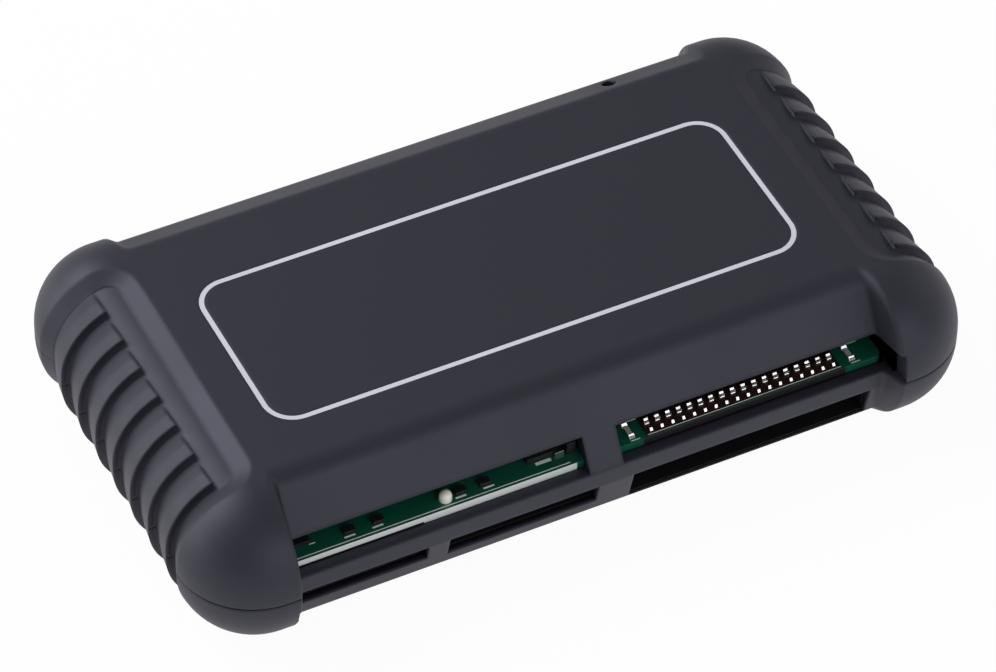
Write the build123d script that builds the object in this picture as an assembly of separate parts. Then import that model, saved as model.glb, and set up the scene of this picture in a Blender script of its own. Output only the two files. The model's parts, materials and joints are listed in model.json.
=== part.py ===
from build123d import *
import math
import os

# A USB memory card reader: two moulded covers with ball-ended bumpers and ribbed
# grips close over one circuit board, which carries the card sockets.
# Millimetres. X runs along the reader, +Y to the back, +Z up. The origin is at the
# middle of the underside.

# Housing
LENGTH = 121.0            # over both bumpers
DEPTH = 70.0              # over the bumpers, front to back
HEIGHT = 25.0             # underside to top face
BELT = 1.8                # upright belt half way up the bumpers
EDGE_ROUND = (HEIGHT - BELT) / 2    # ball corners and rounded edges of the bumpers
BUMPER_RUN = 1.9          # even stretch of a bumper, from the blend to its rounded end
BLEND = 1.6               # width of the soft step from the bumper down to the middle
BLEND_STEPS = 5           # sections along the blend
WALL = 2.0                # moulded wall of the middle
BUMPER_WALL = 3.0         # moulded wall of the bumpers
SEAM = 0.25               # broken edge of the top cover, where the covers meet
PARTING_Z = 0.488 * HEIGHT    # level where the covers meet, and top of the front bar
MIDDLE_END = LENGTH / 2 - EDGE_ROUND - BUMPER_RUN    # the bumpers start here
HALF_MIDDLE = MIDDLE_END - BLEND                     # the even middle ends here

# Front of the middle, from the top down
FRONT_INSET = 3.5         # bar face behind the bumper's front
FRONT_LEAN = 31.0         # lean of the upper face from upright, degrees
BAR_HEIGHT = 2.95         # upright bar between the slot rows
BAR_DEPTH = 1.9           # shelf on top of the bar, front to back
LOWER_HEIGHT = 5.75       # lower face, down to the foot
LOWER_LEAN = 14.0         # lower face leans back, degrees
FOOT_LEAN = 45.0          # foot, degrees from upright
CREASE_ROUND = 4.0        # soft crease between the top and the upper face
BAR_ROUND = 0.7
FOOT_ROUND = 1.5

# Back of the middle
BACK_INSET = 4.4          # back wall behind the bumper's back
BACK_CREASE = 5.7         # back wall to the crease on the top
BACK_LEAN = 60.0          # back slope from upright, degrees
BACK_FOOT = 4.0           # chamfer at the bottom of the back wall
BACK_SLOPE_ROUND = 3.0
BACK_CREASE_ROUND = 2.0

# Slots in the front: their ends as shares of FRONT_HALF, from the middle of the reader
FRONT_MARGIN = 12.2       # from the end of the reader to the end of the slotted front
FRONT_HALF = LENGTH / 2 - FRONT_MARGIN
UPPER_SLOT_HEIGHT = 5.0
CF_SLOT_ENDS = (0.089, 0.982)        # upper right
LEFT_SLOT_ENDS = (-0.961, -0.019)    # upper left
STICK_SLOT_ENDS = (-0.975, -0.534)   # lower left
SD_SLOT_ENDS = (-0.468, 0.012)       # lower middle
SM_SLOT_ENDS = (0.124, 0.907)        # lower right
STICK_SLOT_HEIGHT = 3.0
SD_SLOT_HEIGHT = 3.65
SM_SLOT_HEIGHT = LOWER_HEIGHT        # open down to the foot

# Ribbed grips on both ends: a shallow panel with a sloping rim, and ribs across its floor
RIBS = 7
RIB_PITCH = 6.0
RIB_FILL = 0.85           # share of the pitch that a rib's slope takes
RIB_SWELL = 0.62          # share of its height that a rib has half way up its slope
RIB_Y = -2.0              # middle of the row of steps
RIB_INSET = 7.3           # inner ends of the ribs, from the end of the reader
PANEL_DEPTH = 1.05        # floor of the panel below the bumper's skin
RIB_HEIGHT = PANEL_DEPTH  # tips are level with the bumper's skin
PANEL_SLOPE = 2.5         # width of the sloping rim
PANEL_RIM = 0.9           # share of the depth that the sloping rim takes
PANEL_LENGTH = RIBS * RIB_PITCH + 2 * PANEL_SLOPE    # along Y, over the rim
PANEL_INSET = 13.2        # inner edge of the rim, from the end of the reader
PANEL_CORNER = 2.5        # rounding of the floor's corners

# Printed outline on the top
STRIPE_MARGIN = 4.25      # inside the even middle, at each end
STRIPE_LENGTH = 2 * (HALF_MIDDLE - STRIPE_MARGIN)
STRIPE_DEPTH = 28.6
STRIPE_WIDTH = 0.74
STRIPE_CORNER = 4.3
STRIPE_THICKNESS = 0.15
STRIPE_Y = -0.6

# Circuit board
BOARD_END_GAP = 1.8       # short of the ends of the front
BOARD_LENGTH = 2 * (FRONT_HALF - BOARD_END_GAP)
BOARD_CORNER = 1.0
BOARD_THICKNESS = 1.6
BOARD_RISE = 1.1          # board's upper face above the parting level
BOARD_GAP = 0.3           # behind the bar
BOARD_BACK_GAP = 0.3      # in front of the back wall

# Screws and posts
SCREW_END_INSET = 8.0     # from the ends of the reader
SCREW_SIDE_INSET = 9.5    # from its front and back
SCREW_X = LENGTH / 2 - SCREW_END_INSET
SCREW_Y = DEPTH / 2 - SCREW_SIDE_INSET
SCREW_DIAMETER = 2.5
SCREW_HEAD = 4.6
SCREW_HEAD_HEIGHT = 1.8
SCREW_LENGTH = 0.6 * HEIGHT
SCREW_PLAY = 0.3
CROSS_LENGTH = 0.6 * SCREW_HEAD      # cross recess in the head
CROSS_WIDTH = 0.16 * SCREW_HEAD
CROSS_DEPTH = 0.5 * SCREW_HEAD_HEIGHT
HEAD_DEPTH = 4.5          # underside to the seat of the screw head
BOSS_DIAMETER = 7.0
POST_DIAMETER = 4.0
POST_INSET = 4.5          # posts from the ends of the board
POST_BACK = 5.3           # back posts from the board's back edge
POST_STEP = 7.5           # back posts to the pair in front of them

# Card sockets
SOCKET_DEPTH = 24.0
SOCKET_BACK = 2.5
SOCKET_PLAY = 0.25        # relief in the bottom cover round a socket
SHELL_THICKNESS = 0.3
SHELL_FLANGE = 0.6        # side flanges of the shell, share of the socket's height
SHELL_SETBACK = 2.5       # shell behind the socket's mouth
STICK_CONTACTS = 10
STICK_PITCH = 1.9
SD_CONTACTS = 9
SD_PITCH = 2.3
SM_CONTACTS = 11
SM_PITCH = 2.54
CONTACT_THICKNESS = 0.25
CONTACT_DROP = 0.8
CONTACT_LENGTH = 9.0
CONTACT_ROOT = 0.3        # shares of the length: flat root, and the lowest point
CONTACT_LOW = 0.8
CONTACT_TIP = 0.4         # the tip's share of the drop
HEADER_BODY = 9.0
HEADER_HEIGHT = 6.2
HEADER_ARM = 18.7         # card guides
HEADER_SETBACK = 3.3      # guides behind the board's front edge
HEADER_PINS = 25          # in each of two rows
HEADER_PITCH = 1.27
PIN_SIZE = 0.5
PIN_REACH = 5.0

# Leads at the board's edge in the upper right slot
LEADS = 18
LEAD_PITCH = 1.71
LEAD_OFFSET = 1.25        # row's middle, left of the slot's middle
LEAD_SETBACK = 2.2        # feet of the leads, behind the board's front edge
LEAD_WIDTH = 0.85         # wide foot of a lead
LEAD_LENGTH = 1.0
LEAD_THICKNESS = 0.4
SHANK_WIDTH = 0.45        # narrow shank behind the foot
SHANK_LENGTH = 1.4
STRIP_THICKNESS = 0.25
STRIP_SETBACK = 0.15
STRIP_DEPTH = 4.4

# Small inlet for the USB lead
USB_WIDTH = 7.7
USB_HEIGHT = 3.9
USB_DEPTH = 9.2
USB_PLAY = 0.35
USB_SHEET = 0.35
USB_CORNER = 0.25 * USB_HEIGHT       # cut lower corners
USB_BACK = 4 * USB_SHEET             # thick inner end
TONGUE_WIDTH = 0.55 * USB_WIDTH
TONGUE_HEIGHT = 0.24 * USB_HEIGHT
TONGUE_Z = 0.52 * USB_HEIGHT
TONGUE_LENGTH = 0.75 * USB_DEPTH
USB_CONTACTS = 5
USB_CONTACT = (0.4, 0.6 * USB_DEPTH, 0.15)
USB_CONTACT_PITCH = 0.8

# Lamp hole in the back slope
LAMP_X = 0.656 * FRONT_HALF
LAMP_DOWN = 0.45          # share of the back slope, from its top
LAMP_HOLE = 2.2
LAMP_PLAY = 0.1
LAMP_SUNK = 1.6           # light pipe below the slope
LAMP_SIZE = (2.0, 1.2, 0.9)

# Parts on the board: places as shares of half its length and half its depth
CHIP_PLACE = (-0.52, 0.33)
CHIP_SIZE = 7.0
CHIP_HEIGHT = 1.4
CHIP_RAISED = 0.1         # above the board
CHIP_LEADS = 12           # on each side
CHIP_LEAD_PITCH = 0.5
CHIP_LEAD = (0.9, 0.22, 0.5)
CRYSTAL_PLACE = (-0.77, 0.3)
CRYSTAL_SIZE = (10.5, 4.0, 3.4)
CRYSTAL_FLANGE = (0.7, 0.5)
REGULATOR_PLACE = (-0.17, 0.72)
REGULATOR_SIZE = (6.5, 3.5, 1.5)
REGULATOR_TAB = (3.0, 1.7, 0.5)
TANK_PLACE = (-0.34, 0.72)
TANK_SIZE = (4.0, 4.6)
TANK_BASE = (4.3, 4.3, 0.8)
TANK_CORNER = 0.6
MICRO_SIZE = (14.0, 15.0, 1.9)
MICRO_BASE = 0.5
MICRO_SETBACK = 5.0       # behind the board's front edge
MICRO_BACK = 1.2

# Parts at the board's edge in the upper left slot: places as shares of half the slot
EDGE_PART_PLACES = (-0.551, -0.357, 0.198, 0.361)
EDGE_PART_SIZE = (1.7, 1.1, 0.6)
EDGE_PART_INSET = 2.1     # behind the board's front edge
BULB_PLACE = 0.092
BULB_INSET = 1.7
BULB_DIAMETER = 1.9
BULB_BARREL = 0.7

OVER = 2 * HEIGHT         # cutters reach past the housing
NEAR = 0.01               # edges and faces are found to within this
FLAT = 1e-6               # a stretch that bows less than this is straight

MIN_Z = (Align.CENTER, Align.CENTER, Align.MIN)
MAX_Z = (Align.CENTER, Align.CENTER, Align.MAX)
FRONT_MIN_Z = (Align.CENTER, Align.MIN, Align.MIN)


def rise(angle):
    return math.tan(math.radians(angle))


# Levels and lines shared by the pieces
BAR_Y = -DEPTH / 2 + FRONT_INSET
BAR_LOW = PARTING_Z - BAR_HEIGHT
LOW_Z = BAR_LOW - LOWER_HEIGHT
LOW_Y = BAR_Y + LOWER_HEIGHT * rise(LOWER_LEAN)
FOOT_Y = LOW_Y + LOW_Z * rise(FOOT_LEAN)
CREASE_Y = BAR_Y + (HEIGHT - PARTING_Z) * rise(FRONT_LEAN)
BACK_Y = DEPTH / 2 - BACK_INSET
BACK_TOP_Y = BACK_Y - BACK_CREASE
BACK_TOP_Z = HEIGHT - BACK_CREASE / rise(BACK_LEAN)
UPPER_SLOT_TOP = PARTING_Z + UPPER_SLOT_HEIGHT
BOARD_TOP = PARTING_Z + BOARD_RISE
BOARD_LOW = BOARD_TOP - BOARD_THICKNESS
BOARD_FRONT = BAR_Y + BAR_DEPTH + BOARD_GAP
BOARD_BACK = BACK_Y - WALL - BOARD_BACK_GAP
BOARD_MIDDLE = (BOARD_FRONT + BOARD_BACK) / 2
BOARD_DEPTH = BOARD_BACK - BOARD_FRONT
SOCKET_FRONT = BAR_Y + BAR_DEPTH + BOARD_GAP
ROOF = HEIGHT - WALL
LAMP_Y = BACK_TOP_Y + LAMP_DOWN * BACK_CREASE
LAMP_Z = HEIGHT - LAMP_DOWN * BACK_CREASE / rise(BACK_LEAN)


def slot_place(ends):
    """Middle and width of a slot from the shares of its ends."""
    return FRONT_HALF * (ends[0] + ends[1]) / 2, FRONT_HALF * (ends[1] - ends[0])


CF_X, CF_WIDTH = slot_place(CF_SLOT_ENDS)
LEFT_X, LEFT_WIDTH = slot_place(LEFT_SLOT_ENDS)
LOWER_SLOTS = {
    "stick": (*slot_place(STICK_SLOT_ENDS), STICK_SLOT_HEIGHT, STICK_CONTACTS, STICK_PITCH),
    "sd": (*slot_place(SD_SLOT_ENDS), SD_SLOT_HEIGHT, SD_CONTACTS, SD_PITCH),
    "sm": (*slot_place(SM_SLOT_ENDS), SM_SLOT_HEIGHT, SM_CONTACTS, SM_PITCH),
}
SLOT_POST = FRONT_HALF * (SD_SLOT_ENDS[0] - STICK_SLOT_ENDS[1])    # post between the two left slots
SOCKET_SIDE = (SLOT_POST - SOCKET_PLAY) / 2 - SHELL_THICKNESS      # side walls of a socket

# Outline of the middle: corners in (y, z) with their rounding, from the front crease
# down the front, along the underside and up the back
MIDDLE_CORNERS = [
    (CREASE_Y, HEIGHT, CREASE_ROUND),
    (BAR_Y, PARTING_Z, BAR_ROUND),
    (BAR_Y, BAR_LOW, BAR_ROUND),
    (LOW_Y, LOW_Z, BAR_ROUND),
    (FOOT_Y, 0.0, FOOT_ROUND),
    (BACK_Y - BACK_FOOT, 0.0, FOOT_ROUND),
    (BACK_Y, BACK_FOOT, FOOT_ROUND),
    (BACK_Y, BACK_TOP_Z, BACK_SLOPE_ROUND),
    (BACK_TOP_Y, HEIGHT, BACK_CREASE_ROUND),
]


def rounded_corner(before, corner, after, radius):
    """Start, middle and end of the arc that rounds a corner."""
    towards = (before - corner).normalized()
    onwards = (after - corner).normalized()
    half = math.radians(towards.get_angle(onwards)) / 2
    bisector = (towards + onwards).normalized()
    centre = corner + bisector * (radius / math.sin(half))
    reach = radius / math.tan(half)
    return [corner + towards * reach, centre - bisector * radius, corner + onwards * reach]


def straight(start, end):
    return [start, (start + end) * 0.5, end]


def on_bumper(z, side):
    """Point of the bumper's section at height z, on the front (-1) or the back (1)."""
    drop = max(z - HEIGHT + EDGE_ROUND, EDGE_ROUND - z, 0.0)
    reach = math.sqrt(max(EDGE_ROUND**2 - drop**2, 0.0))
    return Vector(side * (DEPTH / 2 - EDGE_ROUND + reach), z)


def bumper_span(z_start, z_end, side):
    """The stretch of the bumper's section between two heights."""
    start = on_bumper(z_start, side)
    end = on_bumper(z_end, side)
    middle = (start + end) * 0.5
    level = (z_start + z_end) / 2
    if level < EDGE_ROUND or level > HEIGHT - EDGE_ROUND:
        centre_z = EDGE_ROUND if level < EDGE_ROUND else HEIGHT - EDGE_ROUND
        centre = Vector(side * (DEPTH / 2 - EDGE_ROUND), centre_z)
        middle = centre + (middle - centre).normalized() * EDGE_ROUND
    return [start, middle, end]


def paired_spans():
    """Each stretch of the middle's outline with the bumper's stretch that it turns into."""
    points = [Vector(y, z) for y, z, _ in MIDDLE_CORNERS]
    count = len(points)
    arcs = []
    for i, (_, _, radius) in enumerate(MIDDLE_CORNERS):
        arcs.append(rounded_corner(points[i - 1], points[i], points[(i + 1) % count], radius))
    upper = HEIGHT - EDGE_ROUND
    belt = HEIGHT / 2
    front = [HEIGHT, arcs[0][2].Y, upper, belt, EDGE_ROUND]
    front += [arcs[2][2].Y, arcs[3][0].Y, arcs[3][2].Y, arcs[4][0].Y, 0.0]
    front_spans = []
    for i in range(4):
        front_spans.append(arcs[i])
        front_spans.append(straight(arcs[i][2], arcs[i + 1][0]))
    front_spans.append(arcs[4])
    pairs = []
    for i, span in enumerate(front_spans):
        pairs.append((span, bumper_span(front[i], front[i + 1], -1)))
    pairs.append((straight(arcs[4][2], arcs[5][0]), straight(on_bumper(0, -1), on_bumper(0, 1))))
    belt_low = Vector(BACK_Y, EDGE_ROUND)
    belt_high = Vector(BACK_Y, upper)
    back_spans = [
        arcs[5],
        straight(arcs[5][2], arcs[6][0]),
        arcs[6],
        straight(arcs[6][2], belt_low),
        straight(belt_low, belt_high),
        straight(belt_high, arcs[7][0]),
        arcs[7],
        straight(arcs[7][2], arcs[8][0]),
        arcs[8],
    ]
    back = [0.0] + [span[2].Y for span in back_spans[:-1]] + [HEIGHT]
    for i, span in enumerate(back_spans):
        pairs.append((span, bumper_span(back[i], back[i + 1], 1)))
    pairs.append((straight(arcs[8][2], arcs[0][0]), straight(on_bumper(HEIGHT, 1), on_bumper(HEIGHT, -1))))
    return pairs


def outline_edge(start, middle, end):
    bow = abs((middle - start).cross(end - start).Z) / (end - start).length
    if bow < FLAT:
        return Line(start, end)
    return ThreePointArc(start, middle, end)


def housing_section(pairs, share, x):
    """Section at x: share 0 is the middle of the reader, 1 the bumper."""
    edges = []
    for middle, bumper in pairs:
        edges.append(outline_edge(*[m * (1 - share) + b * share for m, b in zip(middle, bumper)]))
    return Plane.YZ.offset(x) * make_face(edges)


def rounded_block(shrink):
    """The whole envelope with ball corners, smaller by shrink on every side."""
    block = Box(LENGTH - 2 * shrink, DEPTH - 2 * shrink, HEIGHT - 2 * shrink)
    return Pos(0, 0, HEIGHT / 2) * fillet(block.edges(), EDGE_ROUND - shrink)


def beyond(x):
    """Everything to the right of x."""
    return Pos(x, 0, 0) * Box(LENGTH, 2 * DEPTH, 2 * OVER, align=(Align.MIN, Align.CENTER, Align.CENTER))


def wrap_round_end(profile):
    """A (y, radius) outline carried round the right bumper: over the top, round the side and below."""
    axis_x = LENGTH / 2 - EDGE_ROUND
    low = EDGE_ROUND
    high = HEIGHT - EDGE_ROUND
    face = make_face(Polyline(*[(axis_x + radius, y) for y, radius in profile], close=True))
    upper = revolve(Pos(0, 0, high) * face, Axis((axis_x, 0, high), (0, 1, 0)), -90)
    lower = revolve(Pos(0, 0, low) * face, Axis((axis_x, 0, low), (0, 1, 0)), 90)
    belt = extrude(Pos(0, 0, low) * face, high - low, dir=(0, 0, 1))
    return upper + belt + lower


def grip_ribs():
    """Saw-tooth ribs of the right grip: each climbs to the front and drops in a step."""
    floor = EDGE_ROUND - PANEL_DEPTH
    root = floor - RIB_HEIGHT / 2
    swell = floor + RIB_HEIGHT * RIB_SWELL
    tip = floor + RIB_HEIGHT
    length = RIB_PITCH * RIB_FILL
    ribs = None
    for i in range(RIBS):
        step_y = RIB_Y + (i - (RIBS - 1) / 2) * RIB_PITCH
        start_y = step_y + length
        slope = [(start_y, root), (start_y, floor), (step_y + length / 2, swell), (step_y, tip)]
        tooth = wrap_round_end([(step_y, root), *slope]) & beyond(LENGTH / 2 - RIB_INSET)
        ribs = tooth if ribs is None else ribs + tooth
    return ribs


def bumper():
    """Right bumper with its grip."""
    block = rounded_block(0) & beyond(0)
    wall_x = LENGTH / 2 - PANEL_INSET + PANEL_SLOPE
    plan = RectangleRounded(2 * PANEL_INSET, PANEL_LENGTH - 2 * PANEL_SLOPE, PANEL_CORNER)
    prism = extrude(Pos(wall_x + PANEL_INSET, 0) * plan, OVER, both=True)
    block -= prism - rounded_block(PANEL_DEPTH)
    near = (wall_x - NEAR, wall_x + NEAR)
    wall = block.faces().filter_by(Axis.X).filter_by_position(Axis.X, *near).sort_by(Axis.Z)[-1]
    rim = block.edges().filter_by(Axis.Y).filter_by_position(Axis.X, *near).sort_by(Axis.Z)[-1]
    block = chamfer(rim, PANEL_RIM * PANEL_DEPTH, PANEL_SLOPE, reference=wall)
    return (block & beyond(MIDDLE_END)) + grip_ribs()


def housing():
    """Outer form: a slim middle that swells softly into a bumper at each end."""
    pairs = paired_spans()
    middle = extrude(housing_section(pairs, 0, 0), HALF_MIDDLE, both=True)
    sections = []
    for step in range(BLEND_STEPS + 1):
        t = step / BLEND_STEPS
        sections.append(housing_section(pairs, t * t * (3 - 2 * t), HALF_MIDDLE + BLEND * t))
    end = bumper() + loft(sections)
    return middle + end + mirror(end, Plane.YZ)


def cavity():
    """Room inside the covers."""
    corners = [(y, z) for y, z, _ in MIDDLE_CORNERS]
    profile = Plane.YZ * offset(make_face(Polyline(*corners, close=True)), -WALL, kind=Kind.INTERSECTION)
    middle = extrude(profile, MIDDLE_END, both=True)
    end = rounded_block(BUMPER_WALL) & beyond(MIDDLE_END)
    return middle + end + mirror(end, Plane.YZ)


def above(z):
    return Pos(0, 0, z) * Box(2 * LENGTH, 2 * DEPTH, OVER, align=MIN_Z)


def below(z):
    return Pos(0, 0, z) * Box(2 * LENGTH, 2 * DEPTH, OVER, align=MAX_Z)


def front_opening(x, width, z_low, z_high, back_y):
    """A slot cut from in front of the reader back to back_y."""
    box = Box(width, DEPTH + back_y, z_high - z_low, align=(Align.CENTER, Align.MAX, Align.MIN))
    return Pos(x, back_y, z_low) * box


def at_screws():
    return [Pos(x, y, 0) for x in (-SCREW_X, SCREW_X) for y in (-SCREW_Y, SCREW_Y)]


def at_posts():
    post_x = BOARD_LENGTH / 2 - POST_INSET
    back = BOARD_BACK - POST_BACK
    return [Pos(x, y, 0) for x in (-post_x, post_x) for y in (back, back - POST_STEP)]


def usb_opening():
    size = (USB_WIDTH + 2 * USB_PLAY, 2 * WALL + BACK_CREASE, USB_HEIGHT + 2 * USB_PLAY)
    return Pos(0, BACK_Y - 1.5 * WALL, BOARD_TOP - USB_PLAY) * Box(*size, align=FRONT_MIN_Z)


def board_relief():
    """Room in both covers for the board's front edge."""
    size = (BOARD_LENGTH + 2 * BOARD_GAP, 2 * WALL, BOARD_THICKNESS + 2 * BOARD_GAP)
    return Pos(0, BOARD_FRONT - BOARD_GAP, BOARD_LOW - BOARD_GAP) * Box(*size, align=FRONT_MIN_Z)


def on_seam(edge):
    """Whether an edge of the top cover's outline lies on the back or on a bumper, clear of the grips."""
    middle = edge @ 0.5
    at_back = middle.Y > 0
    at_end = abs(middle.X) > MIDDLE_END
    return abs(middle.Y) > PANEL_LENGTH / 2 and (at_back or at_end)


def stripe_ring(height):
    """The outline on the top, from its underside up by height."""
    half = STRIPE_WIDTH / 2
    outer = RectangleRounded(STRIPE_LENGTH + 2 * half, STRIPE_DEPTH + 2 * half, STRIPE_CORNER + half)
    inner = RectangleRounded(STRIPE_LENGTH - 2 * half, STRIPE_DEPTH - 2 * half, STRIPE_CORNER - half)
    return Pos(0, STRIPE_Y, HEIGHT - STRIPE_THICKNESS) * extrude(outer - inner, height)


def upper_shell(shell, core):
    """Top cover: bosses and posts first, then the slots, the inlet, the lamp hole and the groove."""
    cover = shell
    for at in at_screws():
        cover += at * Cylinder(BOSS_DIAMETER / 2, OVER) & core & above(PARTING_Z)
    for at in at_posts():
        length = ROOF + WALL / 2 - BOARD_TOP
        cover += at * Pos(0, 0, BOARD_TOP) * Cylinder(POST_DIAMETER / 2, length, align=MIN_Z)
    for at in at_screws():
        pilot = Cylinder(SCREW_DIAMETER / 2, SCREW_LENGTH + SCREW_PLAY, align=MIN_Z)
        cover -= at * Pos(0, 0, HEAD_DEPTH) * pilot
    for x, width in ((CF_X, CF_WIDTH), (LEFT_X, LEFT_WIDTH)):
        cover -= front_opening(x, width, PARTING_Z, UPPER_SLOT_TOP, CREASE_Y + WALL)
    cover -= board_relief() + usb_opening()
    cover -= Pos(LAMP_X, LAMP_Y, BOARD_TOP) * Cylinder(LAMP_HOLE / 2, HEIGHT, align=MIN_Z)
    return cover - stripe_ring(HEIGHT)


def lower_shell(shell, core):
    """Bottom cover: bar, bosses and posts first, then the slots and the relief for the sockets."""
    cover = shell
    shelf_front = BAR_Y + WALL / 2
    shelf = Box(2 * HALF_MIDDLE, BAR_Y + BAR_DEPTH - shelf_front, BAR_HEIGHT, align=FRONT_MIN_Z)
    cover += Pos(0, shelf_front, BAR_LOW) * shelf
    for at in at_screws():
        cover += at * Cylinder(BOSS_DIAMETER / 2, OVER) & core & below(PARTING_Z)
    for at in at_posts():
        cover += at * Pos(0, 0, WALL / 2) * Cylinder(POST_DIAMETER / 2, BOARD_LOW - WALL / 2, align=MIN_Z)
    for at in at_screws():
        cover -= at * Cylinder(SCREW_DIAMETER / 2 + SCREW_PLAY, OVER)
        cover -= at * Pos(0, 0, HEAD_DEPTH) * Cylinder(SCREW_HEAD / 2 + SCREW_PLAY, OVER, align=MAX_Z)
    for x, width, height, *_ in LOWER_SLOTS.values():
        cover -= front_opening(x, width, BAR_LOW - height, BAR_LOW, SOCKET_FRONT)
        margin = SHELL_THICKNESS + SOCKET_PLAY
        size = (width + 2 * SOCKET_SIDE + 2 * margin, SOCKET_DEPTH + 2 * SOCKET_PLAY, HEIGHT)
        relief = Box(*size, align=FRONT_MIN_Z)
        cover -= Pos(x, SOCKET_FRONT - SOCKET_PLAY, BAR_LOW - height - margin) * relief
    return cover - board_relief()


def covers():
    """The two covers, cut from one housing at the parting level and hollowed."""
    outside = housing()
    room = cavity()
    core = rounded_block(WALL / 2)
    upper = outside & above(PARTING_Z)
    seam = upper.edges().group_by(Axis.Z)[0].filter_by(on_seam)
    upper = chamfer(seam, SEAM)
    lower = outside & below(PARTING_Z)
    return upper_shell(upper - room, core), lower_shell(lower - room, core)


def case_screws():
    low = HEAD_DEPTH - SCREW_HEAD_HEIGHT
    screw = Pos(0, 0, low) * Cylinder(SCREW_HEAD / 2, SCREW_HEAD_HEIGHT, align=MIN_Z)
    screw += Pos(0, 0, HEAD_DEPTH) * Cylinder(SCREW_DIAMETER / 2, SCREW_LENGTH, align=MIN_Z)
    recess = Box(CROSS_LENGTH, CROSS_WIDTH, CROSS_DEPTH, align=MIN_Z)
    screw -= Pos(0, 0, low) * (recess + Rot(0, 0, 90) * recess)
    return Compound([at * screw for at in at_screws()])


def circuit_board():
    board = Box(BOARD_LENGTH, BOARD_DEPTH, BOARD_THICKNESS, align=MIN_Z)
    board = fillet(board.edges().filter_by(Axis.Z), BOARD_CORNER)
    return Pos(0, BOARD_MIDDLE, BOARD_LOW) * board


def on_board(x, y, solid):
    return Pos(x, y, BOARD_TOP) * solid


def at_place(place, solid):
    """Put a part on the board at a place given in shares of its half length and half depth."""
    return on_board(place[0] * BOARD_LENGTH / 2, BOARD_MIDDLE + place[1] * BOARD_DEPTH / 2, solid)


def leads_and_strip():
    """Carrier strip on the board's front edge with a row of leads over it."""
    span = (LEADS - 1) * LEAD_PITCH
    middle = CF_X - LEAD_OFFSET
    strip = Box(span + 2 * LEAD_WIDTH, STRIP_DEPTH, STRIP_THICKNESS, align=FRONT_MIN_Z)
    lead = Box(LEAD_WIDTH, LEAD_LENGTH, LEAD_THICKNESS, align=FRONT_MIN_Z)
    lead += Pos(0, LEAD_LENGTH, 0) * Box(SHANK_WIDTH, SHANK_LENGTH, LEAD_THICKNESS, align=FRONT_MIN_Z)
    lead = Pos(0, 0, STRIP_THICKNESS) * lead
    leads = []
    for i in range(LEADS):
        leads.append(on_board(middle - span / 2 + i * LEAD_PITCH, BOARD_FRONT + LEAD_SETBACK, lead))
    return on_board(middle, BOARD_FRONT + STRIP_SETBACK, strip), Compound(leads)


def card_header():
    """Header behind the upper right slot: a body with two guide arms, and its pins."""
    body_y = BOARD_FRONT + HEADER_ARM + HEADER_SETBACK
    clear = UPPER_SLOT_HEIGHT - BOARD_RISE
    body = Box(CF_WIDTH + 2 * SOCKET_SIDE, HEADER_BODY, HEADER_HEIGHT, align=FRONT_MIN_Z)
    arm = Box(SOCKET_SIDE, HEADER_ARM, clear, align=(Align.CENTER, Align.MAX, Align.MIN))
    for side in (-1, 1):
        body += Pos(side * (CF_WIDTH + SOCKET_SIDE) / 2, 0, 0) * arm
    pin = Box(PIN_SIZE, HEADER_BODY + PIN_REACH, PIN_SIZE, align=(Align.CENTER, Align.MIN, Align.CENTER))
    pins = []
    for row in (-0.5, 0.5):
        for i in range(HEADER_PINS):
            x = (i - (HEADER_PINS - 1) / 2) * HEADER_PITCH
            pins.append(Pos(x, -PIN_REACH, clear / 2 + row * HEADER_PITCH) * pin)
    pins = Compound(pins)
    return on_board(CF_X, body_y, body - pins), on_board(CF_X, body_y, pins)


def contact_spring(width):
    """Leaf spring that reaches forward from the back of a socket and bows down to the card."""
    bow = CONTACT_DROP * CONTACT_TIP
    upper = [
        (0.0, 0.0),
        (-CONTACT_LENGTH * CONTACT_ROOT, 0.0),
        (-CONTACT_LENGTH * CONTACT_LOW, -CONTACT_DROP),
        (-CONTACT_LENGTH, -bow),
    ]
    lower = [(y, z - CONTACT_THICKNESS) for y, z in reversed(upper)]
    return extrude(Plane.YZ * make_face(Polyline(*upper, *lower, close=True)), width / 2, both=True)


def card_socket(x, width, height, count, pitch):
    """Socket under the board behind a lower slot: body, sheet shell and contact springs."""
    low = BAR_LOW - height
    tall = BOARD_LOW - low
    outer = width + 2 * SOCKET_SIDE
    body = Box(outer, SOCKET_DEPTH, tall, align=FRONT_MIN_Z)
    body -= Box(width, SOCKET_DEPTH - SOCKET_BACK, height, align=FRONT_MIN_Z)
    sill = Box(outer, SHELL_SETBACK, SHELL_THICKNESS, align=FRONT_MIN_Z)
    body += Pos(0, 0, -SHELL_THICKNESS) * sill
    covered = SOCKET_DEPTH - SHELL_SETBACK
    shell = Box(outer, covered, SHELL_THICKNESS, align=FRONT_MIN_Z)
    flange = Box(SHELL_THICKNESS, covered, SHELL_FLANGE * tall + SHELL_THICKNESS, align=FRONT_MIN_Z)
    for side in (-1, 1):
        shell += Pos(side * (outer + SHELL_THICKNESS) / 2, 0, 0) * flange
    spring = contact_spring(pitch / 2)
    back = SOCKET_FRONT + SOCKET_DEPTH - SOCKET_BACK
    row = [Pos(x + (i - (count - 1) / 2) * pitch, back, BAR_LOW) * spring for i in range(count)]
    at = Pos(x, SOCKET_FRONT, low)
    return at * body, at * Pos(0, SHELL_SETBACK, -SHELL_THICKNESS) * shell, Compound(row)


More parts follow.
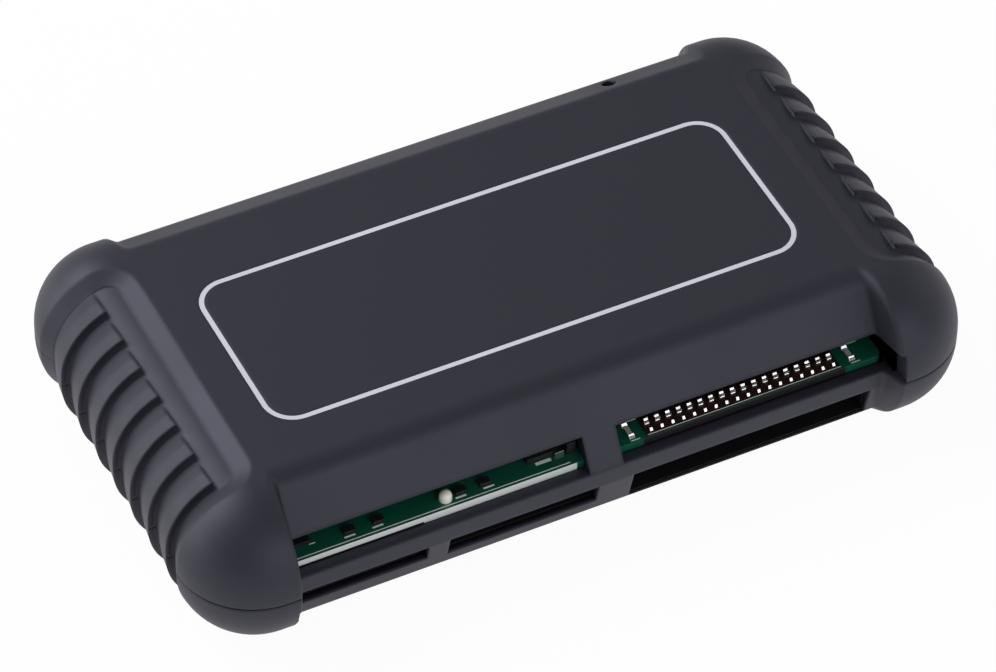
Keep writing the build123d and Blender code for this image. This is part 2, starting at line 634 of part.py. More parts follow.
def micro_socket():
    """Flat socket for the smallest cards, near the post in the upper left slot."""
    width, depth, height = MICRO_SIZE
    x = LEFT_X + LEFT_WIDTH / 2 - SOCKET_SIDE - width / 2
    y = BOARD_FRONT + MICRO_SETBACK
    body = Box(width, depth, MICRO_BASE, align=FRONT_MIN_Z)
    body += Pos(0, depth - MICRO_BACK, 0) * Box(width, MICRO_BACK, height, align=FRONT_MIN_Z)
    shell = Box(width + 2 * SHELL_THICKNESS, depth, height + SHELL_THICKNESS, align=FRONT_MIN_Z)
    shell -= Box(width, depth, height, align=FRONT_MIN_Z)
    return on_board(x, y, body), on_board(x, y, shell)


def cut_lower_corners(box, size):
    return chamfer(box.edges().filter_by(Axis.Y).group_by(Axis.Z)[0], size)


def usb_inlet():
    """Small USB socket that looks out through the back wall."""
    front = BACK_Y - USB_DEPTH
    outer = cut_lower_corners(Box(USB_WIDTH, USB_DEPTH, USB_HEIGHT, align=FRONT_MIN_Z), USB_CORNER)
    room = Box(USB_WIDTH - 2 * USB_SHEET, USB_DEPTH, USB_HEIGHT - 2 * USB_SHEET, align=FRONT_MIN_Z)
    room = Pos(0, USB_BACK, USB_SHEET) * cut_lower_corners(room, USB_CORNER - USB_SHEET / 2)
    tongue = Pos(0, USB_BACK, TONGUE_Z) * Box(TONGUE_WIDTH, TONGUE_LENGTH, TONGUE_HEIGHT, align=FRONT_MIN_Z)
    strip = Box(*USB_CONTACT, align=(Align.CENTER, Align.MIN, Align.MAX))
    contacts = []
    for i in range(USB_CONTACTS):
        x = (i - (USB_CONTACTS - 1) / 2) * USB_CONTACT_PITCH
        contacts.append(on_board(x, front, Pos(0, USB_BACK, TONGUE_Z) * strip))
    return on_board(0, front, outer - room), on_board(0, front, tongue), Compound(contacts)


def controller():
    """Flat square chip with a row of leads on each side."""
    body = Pos(0, 0, CHIP_RAISED) * Box(CHIP_SIZE, CHIP_SIZE, CHIP_HEIGHT, align=MIN_Z)
    lead = Box(*CHIP_LEAD, align=(Align.MIN, Align.CENTER, Align.MIN))
    group = []
    for turn in range(4):
        for i in range(CHIP_LEADS):
            along = (i - (CHIP_LEADS - 1) / 2) * CHIP_LEAD_PITCH
            group.append(at_place(CHIP_PLACE, Rot(0, 0, 90 * turn) * Pos(CHIP_SIZE / 2, along, 0) * lead))
    return at_place(CHIP_PLACE, body), Compound(group)


def crystal():
    length, width, height = CRYSTAL_SIZE
    rim, thick = CRYSTAL_FLANGE
    can = extrude(SlotOverall(length, width), height)
    return at_place(CRYSTAL_PLACE, can + extrude(SlotOverall(length + rim, width + rim), thick))


def regulator():
    body = Box(*REGULATOR_SIZE, align=MIN_Z)
    tab = Pos(0, REGULATOR_SIZE[1] / 2, 0) * Box(*REGULATOR_TAB, align=FRONT_MIN_Z)
    return at_place(REGULATOR_PLACE, body + tab)


def tank_capacitor():
    base = Box(*TANK_BASE, align=MIN_Z)
    base = fillet(base.edges().filter_by(Axis.Z), TANK_CORNER)
    can = Pos(0, 0, TANK_BASE[2]) * Cylinder(TANK_SIZE[0] / 2, TANK_SIZE[1], align=MIN_Z)
    return at_place(TANK_PLACE, base + can)


def in_left_slot(place, inset, solid):
    """Put a part near the board's front edge, at a share of half the upper left slot."""
    return on_board(LEFT_X + place * LEFT_WIDTH / 2, BOARD_FRONT + inset, solid)


def chip_parts():
    part = Box(*EDGE_PART_SIZE, align=MIN_Z)
    return Compound([in_left_slot(place, EDGE_PART_INSET, part) for place in EDGE_PART_PLACES])


def front_lamp():
    """Round lamp at the board's edge: a short barrel under a dome."""
    barrel = Cylinder(BULB_DIAMETER / 2, BULB_BARREL, align=MIN_Z)
    dome = Sphere(BULB_DIAMETER / 2) & above(0)
    return in_left_slot(BULB_PLACE, BULB_INSET, barrel + Pos(0, 0, BULB_BARREL) * dome)


def lamp_and_pipe():
    """Lamp at the back of the board and the clear rod that leads its light to the hole."""
    low = BOARD_TOP + LAMP_SIZE[2]
    lamp = on_board(LAMP_X, BOARD_BACK - LAMP_SIZE[1], Box(*LAMP_SIZE, align=MIN_Z))
    rod = Cylinder(LAMP_HOLE / 2 - LAMP_PLAY, LAMP_Z - LAMP_SUNK - low, align=MIN_Z)
    return lamp, Pos(LAMP_X, LAMP_Y, low) * rod


def build():
    nodes = {}
    nodes["top_cover"], nodes["bottom_cover"] = covers()
    nodes["outline_stripe"] = stripe_ring(STRIPE_THICKNESS)
    nodes["case_screws"] = case_screws()
    nodes["main_circuit_board"] = circuit_board()
    nodes["lead_strip"], nodes["socket_leads"] = leads_and_strip()
    nodes["cf_header"], nodes["cf_pins"] = card_header()
    for name, slot in LOWER_SLOTS.items():
        body, shell, springs = card_socket(*slot)
        nodes[name + "_socket_body"] = body
        nodes[name + "_socket_shell"] = shell
        nodes[name + "_socket_contacts"] = springs
    nodes["micro_socket_body"], nodes["micro_socket_shell"] = micro_socket()
    nodes["usb_shell"], nodes["usb_tongue"], nodes["usb_contacts"] = usb_inlet()
    nodes["controller_chip"], nodes["controller_leads"] = controller()
    nodes["crystal_can"] = crystal()
    nodes["regulator"] = regulator()
    nodes["tank_capacitor"] = tank_capacitor()
    nodes["chip_parts"] = chip_parts()
    nodes["front_lamp"] = front_lamp()
    nodes["indicator_lamp"], nodes["light_pipe"] = lamp_and_pipe()
    return nodes


os.makedirs("parts", exist_ok=True)
for node_name, solid in build().items():
    export_step(solid, f"parts/{node_name}.step")
    print(f"{node_name}: {len(solid.solids())} solids, {solid.volume:.1f} mm3")
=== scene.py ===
# %% [markdown]
# # A USB memory card reader
# The solids of this reader come from its CAD model, already at real size and in place.
# This lesson dresses them: it gives each piece a procedural finish, adds the small things
# that are too fine for the CAD model, such as solder joints and board print, and lights
# the reader like a product on a white sweep.

# %% Load the solids
import bpy
import json
import math
from mathutils import Matrix, Vector


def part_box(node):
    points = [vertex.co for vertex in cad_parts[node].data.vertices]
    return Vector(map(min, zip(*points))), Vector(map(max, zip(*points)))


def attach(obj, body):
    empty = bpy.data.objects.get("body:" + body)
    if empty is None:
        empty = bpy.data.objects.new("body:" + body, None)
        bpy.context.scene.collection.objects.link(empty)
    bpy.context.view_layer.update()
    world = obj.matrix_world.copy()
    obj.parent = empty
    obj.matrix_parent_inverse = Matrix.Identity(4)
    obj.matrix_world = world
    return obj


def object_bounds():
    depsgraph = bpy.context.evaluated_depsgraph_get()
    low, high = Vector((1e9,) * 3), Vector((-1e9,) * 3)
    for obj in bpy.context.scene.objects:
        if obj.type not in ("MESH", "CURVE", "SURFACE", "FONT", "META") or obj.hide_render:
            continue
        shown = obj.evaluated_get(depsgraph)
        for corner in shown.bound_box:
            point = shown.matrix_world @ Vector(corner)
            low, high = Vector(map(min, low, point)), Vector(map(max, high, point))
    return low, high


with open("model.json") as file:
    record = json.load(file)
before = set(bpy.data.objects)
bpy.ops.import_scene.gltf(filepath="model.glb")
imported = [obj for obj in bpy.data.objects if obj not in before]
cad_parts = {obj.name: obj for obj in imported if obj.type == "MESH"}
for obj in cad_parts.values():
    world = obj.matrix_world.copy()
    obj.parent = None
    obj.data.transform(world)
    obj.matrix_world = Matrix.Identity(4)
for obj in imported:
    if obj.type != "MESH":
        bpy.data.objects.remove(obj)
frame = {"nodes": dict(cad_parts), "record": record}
nodes = frame["nodes"]
cad_low, cad_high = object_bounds()
MM = 0.001
size_mm = [round(v / MM, 1) for v in cad_high - cad_low]
print("solids:", len(nodes), "size in mm:", size_mm)

# %% [markdown]
# ## Camera
# The photograph was taken from well above and to the left, with a long lens: the edges of the
# reader stay almost parallel. A long focal length far away gives that flat look; a short lens close
# by would make the near bumper far too big. The camera is set by its place, the direction of
# its view and a slight roll, all found by fitting the grips' even ribs and the outline on the top.

# %% Camera
CAMERA_EYE = Vector((-266.2, -517.4, 613.95)) * MM
CAMERA_AZIMUTH = -27.25    # degrees round from the front
CAMERA_ELEVATION = 46.05   # degrees above the horizon
CAMERA_ROLL = 1.27         # degrees, picture leans to the right
CAMERA_LENS = 212.15       # mm, on a sensor 36 mm wide
SENSOR_WIDTH = 36.0


def make_camera():
    camera = bpy.data.objects.new("camera", bpy.data.cameras.new("camera"))
    bpy.context.scene.collection.objects.link(camera)
    azimuth = math.radians(CAMERA_AZIMUTH)
    elevation = math.radians(CAMERA_ELEVATION)
    flat = math.cos(elevation)
    back = Vector((math.sin(azimuth) * flat, -math.cos(azimuth) * flat, math.sin(elevation)))
    aim = (-back).to_track_quat("-Z", "Y").to_matrix().to_4x4()
    roll = Matrix.Rotation(math.radians(CAMERA_ROLL), 4, "Z")
    camera.matrix_world = Matrix.Translation(CAMERA_EYE) @ aim @ roll
    camera.data.sensor_fit = "HORIZONTAL"
    camera.data.sensor_width = SENSOR_WIDTH
    camera.data.lens = CAMERA_LENS
    camera.data.clip_start = 0.01
    camera.data.clip_end = 20.0
    camera.data.dof.use_dof = False
    return camera


bpy.context.scene.camera = make_camera()
print("camera lens:", CAMERA_LENS, "mm")

# %% [markdown]
# ## White sweep and soft light
# A dark, satin plastic shows mostly what it mirrors, so the places of the lamps matter more than their
# strength. Two softboxes behind on the left lighten the back and left sides of the ends, a weaker
# one in front lifts the front slope and makes the solder shine, and one on the right fills the
# far end. The world gives a little even light. The floor is pale and takes the shadow; most
# of what the camera sees of it is emission, so that it reads as white paper.

# %% Light
WORLD_STRENGTH = 0.35
# place and size in metres, and watts, of each softbox
SOFTBOXES = {
    "high_left_softbox": ((-0.55, 0.7, 0.85), (0.9, 0.6), 10.6),
    "low_left_softbox": ((-1.05, 0.6, 0.25), (0.9, 0.4), 5.2),
    "front_softbox": ((0.2, -1.1, 0.5), (0.9, 0.6), 4.0),
    "right_softbox": ((1.1, 0.0, 0.55), (0.9, 0.6), 1.4),
}


def make_world():
    world = bpy.data.worlds.new("white_surround")
    world.use_nodes = True
    light = world.node_tree.nodes["Background"]
    light.inputs["Color"].default_value = (1.0, 1.0, 1.0, 1.0)
    light.inputs["Strength"].default_value = WORLD_STRENGTH
    bpy.context.scene.world = world


def softbox(name, place, aim, size, watts):
    data = bpy.data.lights.new(name, "AREA")
    data.shape = "RECTANGLE"
    data.size, data.size_y = size
    data.energy = watts
    lamp = bpy.data.objects.new(name, data)
    bpy.context.scene.collection.objects.link(lamp)
    lamp.location = place
    lamp.rotation_euler = (Vector(aim) - Vector(place)).to_track_quat("-Z", "Y").to_euler()
    return lamp


make_world()
middle = (cad_low + cad_high) / 2
for name, (place, size, watts) in SOFTBOXES.items():
    softbox(name, place, middle, size, watts)
bpy.context.scene.view_settings.view_transform = "Standard"

# %% Floor
FLOOR_HALF = 3.0
PAPER_COLOUR = (0.86, 0.86, 0.86, 1.0)
PAPER_ROUGHNESS = 0.9
FLOOR_GLOW = 0.96    # share of the floor that shows as plain white paper


def make_floor():
    mesh = bpy.data.meshes.new("floor")
    h = FLOOR_HALF
    z = cad_low.z
    mesh.from_pydata([(-h, -h, z), (h, -h, z), (h, h, z), (-h, h, z)], [], [(0, 1, 2, 3)])
    floor = bpy.data.objects.new("floor", mesh)
    bpy.context.scene.collection.objects.link(floor)
    material = bpy.data.materials.new("white_paper")
    material.use_nodes = True
    tree = material.node_tree
    paper = tree.nodes["Principled BSDF"]
    paper.inputs["Base Color"].default_value = PAPER_COLOUR
    paper.inputs["Roughness"].default_value = PAPER_ROUGHNESS
    glow = tree.nodes.new("ShaderNodeEmission")
    glow.inputs["Color"].default_value = (1.0, 1.0, 1.0, 1.0)
    glow.inputs["Strength"].default_value = 1.0
    path = tree.nodes.new("ShaderNodeLightPath")
    seen = path.outputs["Is Camera Ray"]
    for ray in ("Is Glossy Ray", "Is Transmission Ray"):
        either = tree.nodes.new("ShaderNodeMath")
        either.operation = "MAXIMUM"
        tree.links.new(seen, either.inputs[0])
        tree.links.new(path.outputs[ray], either.inputs[1])
        seen = either.outputs[0]
    share = tree.nodes.new("ShaderNodeMath")
    share.operation = "MULTIPLY"
    share.inputs[1].default_value = FLOOR_GLOW
    tree.links.new(seen, share.inputs[0])
    mix = tree.nodes.new("ShaderNodeMixShader")
    tree.links.new(share.outputs[0], mix.inputs["Fac"])
    tree.links.new(paper.outputs[0], mix.inputs[1])
    tree.links.new(glow.outputs[0], mix.inputs[2])
    tree.links.new(mix.outputs[0], tree.nodes["Material Output"].inputs["Surface"])
    mesh.materials.append(material)
    return floor


make_floor()
print("floor at z =", cad_low.z)

# %% [markdown]
# ## Shared surface effects
# Moulded plastic, print and metal all show the same few things close up: a fine grain, slow
# changes where hands have been, and edges that are slightly rounded and catch the light. Each
# effect is one node group, so a change to it reaches every material that uses it. The groups
# put out only masks, heights and normals; the shaders stay in the materials.

# %% Helpers for node groups
def new_group(name, inputs, outputs):
    """An empty shader group with float inputs {name: default} and outputs {name: socket type}."""
    group = bpy.data.node_groups.new(name, "ShaderNodeTree")
    for label, value in inputs.items():
        socket = group.interface.new_socket(label, in_out="INPUT", socket_type="NodeSocketFloat")
        socket.default_value = value
    for label, kind in outputs.items():
        group.interface.new_socket(label, in_out="OUTPUT", socket_type=kind)
    enter = group.nodes.new("NodeGroupInput")
    leave = group.nodes.new("NodeGroupOutput")
    return group, enter, leave


def add_noise(tree, coordinates, detail, roughness):
    noise = tree.nodes.new("ShaderNodeTexNoise")
    noise.inputs["Detail"].default_value = detail
    noise.inputs["Roughness"].default_value = roughness
    tree.links.new(coordinates, noise.inputs["Vector"])
    return noise


def add_range(tree, value, low, high, to_low=0.0, to_high=1.0):
    """A clamped Map Range from low..high to to_low..to_high."""
    ramp = tree.nodes.new("ShaderNodeMapRange")
    ramp.inputs["From Min"].default_value = low
    ramp.inputs["From Max"].default_value = high
    ramp.inputs["To Min"].default_value = to_low
    ramp.inputs["To Max"].default_value = to_high
    tree.links.new(value, ramp.inputs["Value"])
    return ramp.outputs["Result"]


# %% Grain, handling and edges
BEVEL_SAMPLES = 4


def make_grain():
    group, enter, leave = new_group("fine_grain", {"Scale": 2500.0}, {"Height": "NodeSocketFloat"})
    place = group.nodes.new("ShaderNodeTexCoord")
    noise = add_noise(group, place.outputs["Object"], 3.0, 0.6)
    group.links.new(enter.outputs["Scale"], noise.inputs["Scale"])
    group.links.new(noise.outputs["Fac"], leave.inputs["Height"])
    return group


def make_handling():
    group, enter, leave = new_group("handling", {"Scale": 45.0}, {"Mask": "NodeSocketFloat"})
    place = group.nodes.new("ShaderNodeTexCoord")
    noise = add_noise(group, place.outputs["Object"], 4.0, 0.55)
    group.links.new(enter.outputs["Scale"], noise.inputs["Scale"])
    group.links.new(add_range(group, noise.outputs["Fac"], 0.3, 0.7), leave.inputs["Mask"])
    return group


def make_edges():
    """Rounds sharp edges in the shading, and marks them."""
    outputs = {"Mask": "NodeSocketFloat", "Normal": "NodeSocketVector"}
    group, enter, leave = new_group("soft_edges", {"Radius": 0.0003}, outputs)
    bevel = group.nodes.new("ShaderNodeBevel")
    bevel.samples = BEVEL_SAMPLES
    group.links.new(enter.outputs["Radius"], bevel.inputs["Radius"])
    surface = group.nodes.new("ShaderNodeNewGeometry")
    dot = group.nodes.new("ShaderNodeVectorMath")
    dot.operation = "DOT_PRODUCT"
    group.links.new(bevel.outputs["Normal"], dot.inputs[0])
    group.links.new(surface.outputs["Normal"], dot.inputs[1])
    group.links.new(add_range(group, dot.outputs["Value"], 0.995, 0.8), leave.inputs["Mask"])
    group.links.new(bevel.outputs["Normal"], leave.inputs["Normal"])
    return group


GRAIN = make_grain()
HANDLING = make_handling()
EDGES = make_edges()
print("node groups:", [g.name for g in (GRAIN, HANDLING, EDGES)])

# %% [markdown]
# ## Finishes
# Every finish starts from one Principled shader. A colour or a number that is the same all over
# is typed straight on its socket. What changes over the surface comes from the groups: the
# handling mask shifts colour and roughness a little, the edge mask lightens worn edges, and
# the grain goes through a Bump node, so the plastic doesn't look like smooth glass.

# %% One recipe for moulded and printed surfaces
BUMP_DISTANCE = 0.1 * MM


def place_group(tree, group, **values):
    node = tree.nodes.new("ShaderNodeGroup")
    node.node_tree = group
    for label, value in values.items():
        node.inputs[label.replace("_", " ")].default_value = value
    return node


def mix_colours(tree, mask, first, second):
    """Mix two colours by a mask; a colour is a typed value or an output socket."""
    mix = tree.nodes.new("ShaderNodeMix")
    mix.data_type = "RGBA"
    tree.links.new(mask, mix.inputs["Factor"])
    for socket, colour in ((mix.inputs[6], first), (mix.inputs[7], second)):
        if isinstance(colour, tuple):
            socket.default_value = (*colour, 1.0)
        else:
            tree.links.new(colour, socket)
    return mix.outputs[2]


def surface(name, colour, worn, edge, roughness, grain=2500.0, bump=0.1, radius=0.3, metallic=0.0):
    """A finish from its colour, its colour where handled and at its edges, and its roughness range."""
    material = bpy.data.materials.new(name)
    material.use_nodes = True
    tree = material.node_tree
    shader = tree.nodes["Principled BSDF"]
    shader.inputs["Metallic"].default_value = metallic
    handled = place_group(tree, HANDLING)
    edges = place_group(tree, EDGES, Radius=radius * MM)
    fine = place_group(tree, GRAIN, Scale=grain)
    body = mix_colours(tree, handled.outputs["Mask"], colour, worn)
    tree.links.new(mix_colours(tree, edges.outputs["Mask"], body, edge), shader.inputs["Base Color"])
    tree.links.new(add_range(tree, handled.outputs["Mask"], 0.0, 1.0, *roughness), shader.inputs["Roughness"])
    relief = tree.nodes.new("ShaderNodeBump")
    relief.inputs["Strength"].default_value = bump
    relief.inputs["Distance"].default_value = BUMP_DISTANCE
    tree.links.new(fine.outputs["Height"], relief.inputs["Height"])
    tree.links.new(edges.outputs["Normal"], relief.inputs["Normal"])
    tree.links.new(relief.outputs["Normal"], shader.inputs["Normal"])
    return material


def set_shader(material, **values):
    """Type constants straight on the sockets of a finish's shader."""
    shader = material.node_tree.nodes["Principled BSDF"]
    for label, value in values.items():
        shader.inputs[label.replace("_", " ")].default_value = value


# %% Soft-touch plastic of the covers
cover_grey = surface("cover_grey_soft_touch", (0.011, 0.011, 0.016), (0.012, 0.012, 0.018),
                     (0.013, 0.013, 0.019), (0.56, 0.5), grain=3200.0, bump=0.12, radius=0.8)
set_shader(cover_grey, Specular_IOR_Level=0.61, Specular_Tint=(0.78, 0.78, 1.0, 1.0))
print("made", cover_grey.name)

# %% Pale print of the outline
stripe_pale = surface("outline_print", (0.63, 0.64, 0.72), (0.57, 0.58, 0.66), (0.6, 0.61, 0.69),
                      (0.5, 0.42), grain=4000.0, bump=0.1, radius=0.05)
print("made", stripe_pale.name)

# %% Board and its print
board_green = surface("solder_mask_green", (0.004, 0.08, 0.047), (0.006, 0.1, 0.058),
                      (0.02, 0.14, 0.085), (0.32, 0.26), grain=900.0, bump=0.15, radius=0.06)
set_shader(board_green, Coat_Weight=0.15)
board_edge = surface("laminate_edge", (0.74, 0.8, 0.78), (0.9, 0.94, 0.92), (0.85, 0.9, 0.88),
                     (0.6, 0.5), grain=5000.0, bump=0.3, radius=0.05)
board_white = surface("board_print_and_highlight", (0.93, 0.95, 0.94), (0.86, 0.88, 0.87), (0.93, 0.95, 0.94),
                      (0.6, 0.5), grain=6000.0, bump=0.2, radius=0.02)
print("made", board_green.name, board_edge.name, board_white.name)

# %% Plastics inside
black_plastic = surface("black_moulding", (0.006, 0.006, 0.008), (0.009, 0.009, 0.011),
                        (0.014, 0.014, 0.016), (0.55, 0.48), grain=3000.0, bump=0.12, radius=0.08)
strip_brown = surface("brown_carrier", (0.018, 0.007, 0.006), (0.028, 0.011, 0.009),
                      (0.05, 0.022, 0.018), (0.5, 0.4), grain=2600.0, bump=0.2, radius=0.05)
trace_brown = surface("bare_traces", (0.13, 0.07, 0.06), (0.1, 0.05, 0.042),
                      (0.16, 0.09, 0.075), (0.5, 0.4), grain=2600.0, bump=0.1, radius=0.03)
lamp_cream = surface("milky_lens", (0.86, 0.84, 0.77), (0.9, 0.88, 0.82),
                     (0.88, 0.86, 0.8), (0.3, 0.22), grain=1500.0, bump=0.03, radius=0.05)
clear_rod = surface("clear_rod", (0.5, 0.55, 0.53), (0.55, 0.6, 0.58),
                    (0.6, 0.64, 0.62), (0.2, 0.14), grain=1500.0, bump=0.03, radius=0.05)
ceramic_pale = surface("pale_ceramic", (0.5, 0.49, 0.47), (0.44, 0.43, 0.41),
                       (0.56, 0.55, 0.53), (0.4, 0.32), grain=2200.0, bump=0.08, radius=0.04)
print("made", black_plastic.name, strip_brown.name, lamp_cream.name, ceramic_pale.name)

# %% Metals
steel_bright = surface("tinned_steel", (0.62, 0.62, 0.61), (0.52, 0.52, 0.51), (0.75, 0.75, 0.74),
                       (0.34, 0.26), grain=1800.0, bump=0.06, radius=0.06, metallic=1.0)
contact_gold = surface("gold_contact", (0.72, 0.5, 0.18), (0.62, 0.42, 0.15), (0.8, 0.6, 0.3),
                       (0.32, 0.24), grain=2000.0, bump=0.05, radius=0.04, metallic=1.0)
can_silver = surface("bare_can", (0.68, 0.68, 0.69), (0.6, 0.6, 0.61), (0.8, 0.8, 0.8),
                     (0.38, 0.3), grain=1600.0, bump=0.05, radius=0.08, metallic=1.0)
solder_tin = surface("solder", (0.9, 0.9, 0.91), (0.84, 0.84, 0.85), (0.92, 0.92, 0.93),
                     (0.44, 0.38), grain=1500.0, bump=0.06, radius=0.05, metallic=1.0)
print("made", steel_bright.name, contact_gold.name, solder_tin.name)

# %% Which finish goes with which slot of the record
FINISHES = {
    "cover_grey": cover_grey,
    "stripe_pale": stripe_pale,
    "board_green": board_green,
    "black_plastic": black_plastic,
    "steel_bright": steel_bright,
    "contact_gold": contact_gold,
    "strip_brown": strip_brown,
    "lamp_cream": lamp_cream,
    "clear_rod": clear_rod,
    "can_silver": can_silver,
}
print("finishes:", sorted(FINISHES))

# %% [markdown]
# ## Dress the solids
# The record says which finish each solid has, so the loop reads it from there. The solids keep
# their own meshes: only their material changes.

# %% Give each solid its finish
for part in frame["record"]["subparts"]:
    solid = nodes[part["node"]]
    solid.data.materials.clear()
    solid.data.materials.append(FINISHES[part["material_slot"]])
print("dressed", len(nodes), "solids")

# %% [markdown]
# ## Solder joints
# Along the board's edge in the right slot, every lead has a bright fillet of solder at its foot and a
# small joint at the front. Molten solder climbs a lead and leaves a slope that faces forwards. A
# metal slope mirrors the softbox in front, so it shows as a white spot in the dark slot; a
# flat top would mirror the dark roof of the slot. One wedge is made and repeated along the row.

# %% Helpers for small meshes
def add_piece(name, mesh, material):
    piece = bpy.data.objects.new(name, mesh)
    bpy.context.scene.collection.objects.link(piece)
    mesh.materials.append(material)
    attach(piece, "root")
    return piece


def block(points, faces, low, high):
    """Add a box between two corners."""
    base = len(points)
    for z in (low[2], high[2]):
        points += [(low[0], low[1], z), (high[0], low[1], z), (high[0], high[1], z), (low[0], high[1], z)]
    for quad in ((3, 2, 1, 0), (4, 5, 6, 7), (0, 1, 5, 4), (1, 2, 6, 5), (2, 3, 7, 6), (3, 0, 4, 7)):
        faces.append(tuple(base + i for i in quad))


def wedge(points, faces, low, high):
    """Add a wedge between two corners: it climbs from its front edge to its back."""
    base = len(points)
    points += [(low[0], low[1], low[2]), (high[0], low[1], low[2]), (high[0], high[1], low[2])]
    points += [(low[0], high[1], low[2]), (low[0], high[1], high[2]), (high[0], high[1], high[2])]
    for face in ((3, 2, 1, 0), (0, 1, 5, 4), (2, 3, 4, 5), (1, 2, 5), (3, 0, 4)):
        faces.append(tuple(base + i for i in face))


def mesh_from(name, points, faces, smooth):
    mesh = bpy.data.meshes.new(name)
    mesh.from_pydata(points, [], faces)
    mesh.polygons.foreach_set("use_smooth", [smooth] * len(mesh.polygons))
    return mesh


# %% Solder along the right slot
board_low, board_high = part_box("main_circuit_board")
board_top = board_high.z
board_front = board_low.y
leads_low, leads_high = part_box("socket_leads")
strip_low, strip_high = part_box("lead_strip")
LEAD_COUNT = 18
LEAD_WIDTH = 0.85 * MM
lead_first = leads_low.x + LEAD_WIDTH / 2
lead_last = leads_high.x - LEAD_WIDTH / 2
lead_pitch = (lead_last - lead_first) / (LEAD_COUNT - 1)
lead_places = [lead_first + i * lead_pitch for i in range(LEAD_COUNT)]
DOT_ROW = 0.65 * MM        # row of small joints, behind the board's front edge
DOT = (0.42 * MM, 0.32 * MM, 0.42 * MM)      # wedge of solder at the front of a lead
FILLET = (0.66 * MM, 0.6 * MM, 0.66 * MM)    # wedge of solder on the foot of a lead
FILLET_REACH = 0.1 * MM     # of the fillet in front of its lead
END_GAP = 3.0 * MM         # from the ends of the row to a single part
END_ROWS = (0.75 * MM, 3.0 * MM)             # the two joints of a single part
END_FILLET = (0.85 * MM, 0.45 * MM, 0.5 * MM)
end_places = (lead_first - END_GAP, lead_last + END_GAP)


def fillet(points, faces, x, y, z, size):
    wedge(points, faces, (x - size[0] / 2, y, z), (x + size[0] / 2, y + size[1], z + size[2]))


def solder_joints():
    points, faces = [], []
    for x in lead_places:
        fillet(points, faces, x, board_front + DOT_ROW, strip_high.z, DOT)
        fillet(points, faces, x, leads_low.y - FILLET_REACH, strip_high.z, FILLET)
    for x in end_places:
        for row in END_ROWS:
            fillet(points, faces, x, board_front + row, board_top, END_FILLET)
    return mesh_from("solder_joints", points, faces, False)


joints = add_piece("solder_joints", solder_joints(), solder_tin)
print("solder joints:", len(joints.data.polygons), "faces")

# %% Traces between the joints, and the single parts
TRACE_WIDTH = 0.16 * MM
TRACE_HEIGHT = 0.02 * MM
END_PART_WIDTH = 0.7 * MM
END_PART_HEIGHT = 0.3 * MM


def trace_row():
    """A bare trace from each small joint to its lead."""
    points, faces = [], []
    for x in lead_places:
        low = (x - TRACE_WIDTH / 2, board_front + DOT_ROW, strip_high.z)
        block(points, faces, low, (x + TRACE_WIDTH / 2, leads_low.y, strip_high.z + TRACE_HEIGHT))
    return mesh_from("bare_traces", points, faces, False)


def end_parts():
    points, faces = [], []
    for x in end_places:
        low = (x - END_PART_WIDTH / 2, board_front + END_ROWS[0], board_top)
        high = (x + END_PART_WIDTH / 2, board_front + END_ROWS[1], board_top + END_PART_HEIGHT)
        block(points, faces, low, high)
    return mesh_from("end_parts", points, faces, False)


traces = add_piece("bare_traces", trace_row(), trace_brown)
singles = add_piece("end_parts", end_parts(), ceramic_pale)
print("traces and parts:", len(traces.data.polygons) + len(singles.data.polygons), "faces")

# %% [markdown]
# ## Print and edge of the board
# White print on a circuit board marks where parts go: a line along the edge, and a short dash in front
# of each part. It is a very thin layer of ink, so each mark is a flat box that lies on the board. The
# cut edge of the board shows the pale laminate in the left slot. Below that, and along the row of
# leads, a dark sheet lies on the edge: painted shade, where the edge is in shadow.

# %% Board print
INK = 0.02 * MM
# x, distance behind the board's front edge, length and width of each mark, in mm
LEFT_MARKS = (
    (-24.5, 0.45, 43.4, 0.14),
    (-36.4, 1.2, 1.65, 0.26),
    (-32.15, 1.2, 1.65, 0.26),
    (-19.4, 1.2, 1.65, 0.3),
    (-15.1, 1.2, 1.65, 0.3),
    (-6.2, 2.15, 2.4, 0.55),
    (-41.7, 2.2, 0.9, 0.18),
)
# the same for the two marks at each single part, with x counted from the part
END_MARKS = ((0.9, 3.95, 2.6, 0.2), (0.3, 0.35, 1.4, 0.16))
# A white line along the front of the carrier strip: a painted highlight on the strip's edge, drawn with the
# print.
STRIP_HIGHLIGHT_PLACE = 0.07 * MM    # of the line along the carrier strip, behind its front
STRIP_HIGHLIGHT_WIDTH = 0.1 * MM


def board_marks():
    points, faces = [], []

    def mark(x, y, length, width, z):
        block(points, faces, (x - length / 2, y - width / 2, z), (x + length / 2, y + width / 2, z + INK))

    for x, behind, length, width in LEFT_MARKS:
        mark(x * MM, board_front + behind * MM, length * MM, width * MM, board_top)
    row_middle = (lead_first + lead_last) / 2
    row_length = strip_high.x - strip_low.x
    # painted highlight along the front edge of the carrier strip
    mark(row_middle, strip_low.y + STRIP_HIGHLIGHT_PLACE, row_length, STRIP_HIGHLIGHT_WIDTH, strip_high.z)
    for x in end_places:
        for aside, behind, length, width in END_MARKS:
            mark(x + aside * MM, board_front + behind * MM, length * MM, width * MM, board_top)
    return mesh_from("board_print_and_highlight", points, faces, False)


# the print, and the painted highlight on the carrier strip
marks = add_piece("board_print_and_highlight", board_marks(), board_white)
print("board print:", len(marks.data.polygons), "faces")

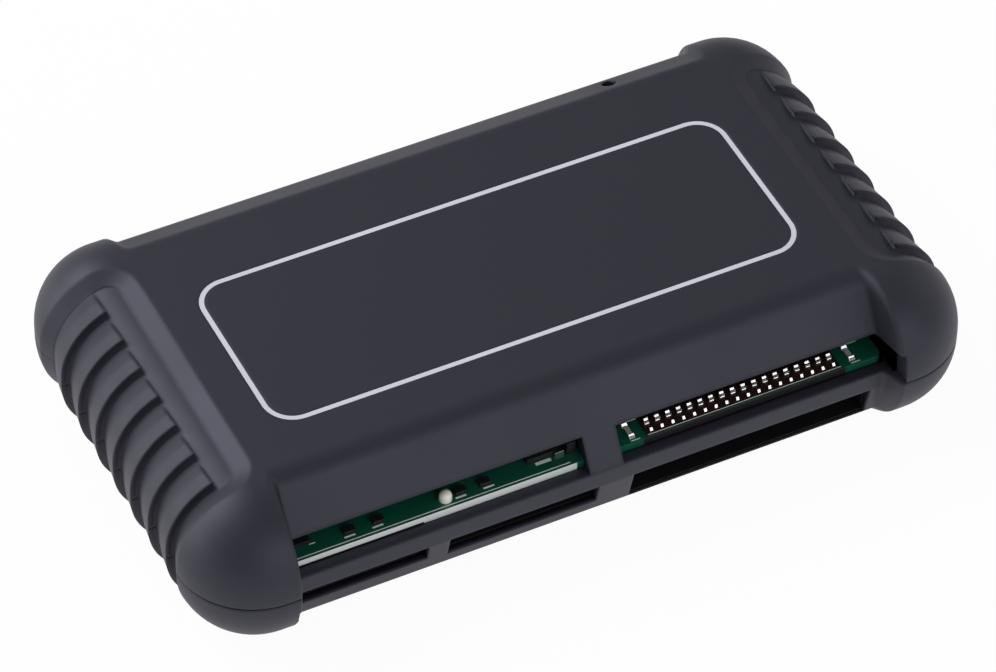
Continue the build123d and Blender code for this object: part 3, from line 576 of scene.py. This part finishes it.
# %% Dark parts at both ends of the left slot, and a bright tab
# corners of each part, in mm: x, distance behind the board's front edge, height above the board
DARK_PARTS = (
    ((-45.6, 2.4, 0.0), (-41.9, 4.4, 0.6)),
    ((-8.5, 2.6, 0.0), (-4.5, 4.9, 0.9)),
    ((-2.6, 1.9, 0.0), (-1.3, 4.9, 2.2)),
)
BRIGHT_TABS = (((-4.3, 2.3, 0.0), (-2.9, 3.3, 0.6)),)


def slot_parts(name, corners):
    points, faces = [], []
    for ends in corners:
        low, high = ((x * MM, board_front + behind * MM, board_top + up * MM) for x, behind, up in ends)
        block(points, faces, low, high)
    return mesh_from(name, points, faces, False)


dark = add_piece("dark_parts", slot_parts("dark_parts", DARK_PARTS), black_plastic)
tabs = add_piece("bright_tab", slot_parts("bright_tab", BRIGHT_TABS), steel_bright)
print("dark parts and tab:", len(dark.data.polygons) + len(tabs.data.polygons), "faces")

# %% Cut edge of the board
EDGE_LAYER = 0.06 * MM
EDGE_STEP_X = -25.7 * MM    # the pale part of the edge gets deeper here
PALE_ENDS = (-46.2 * MM, -2.0 * MM)
PALE_DEPTHS = (0.95 * MM, 1.3 * MM)


def edge_band():
    points, faces = [], []
    front = board_front - EDGE_LAYER
    low = board_top - PALE_DEPTHS[0]
    block(points, faces, (PALE_ENDS[0], front, low), (EDGE_STEP_X, board_front, board_top))
    low = board_top - PALE_DEPTHS[1]
    block(points, faces, (EDGE_STEP_X, front, low), (PALE_ENDS[1], board_front, board_top))
    return mesh_from("pale_edge", points, faces, False)


# A dark sheet on the cut edge, below the pale band and along the row of leads: painted shade.
def painted_shade_edge():
    points, faces = [], []
    front = board_front - EDGE_LAYER
    low = board_low.z
    high = board_top - PALE_DEPTHS[0]
    block(points, faces, (PALE_ENDS[0], front, low), (EDGE_STEP_X, board_front, high))
    left, right = lead_first - END_GAP / 2, lead_last + END_GAP / 2
    block(points, faces, (left, front, low), (right, board_front, board_top))
    return mesh_from("painted_shade_edge", points, faces, False)


pale = add_piece("pale_edge", edge_band(), board_edge)
# painted shade on the board's cut edge, in the black moulding finish
painted_shade = add_piece("painted_shade_edge", painted_shade_edge(), black_plastic)
print("edge of the board:", len(pale.data.polygons) + len(painted_shade.data.polygons), "faces")
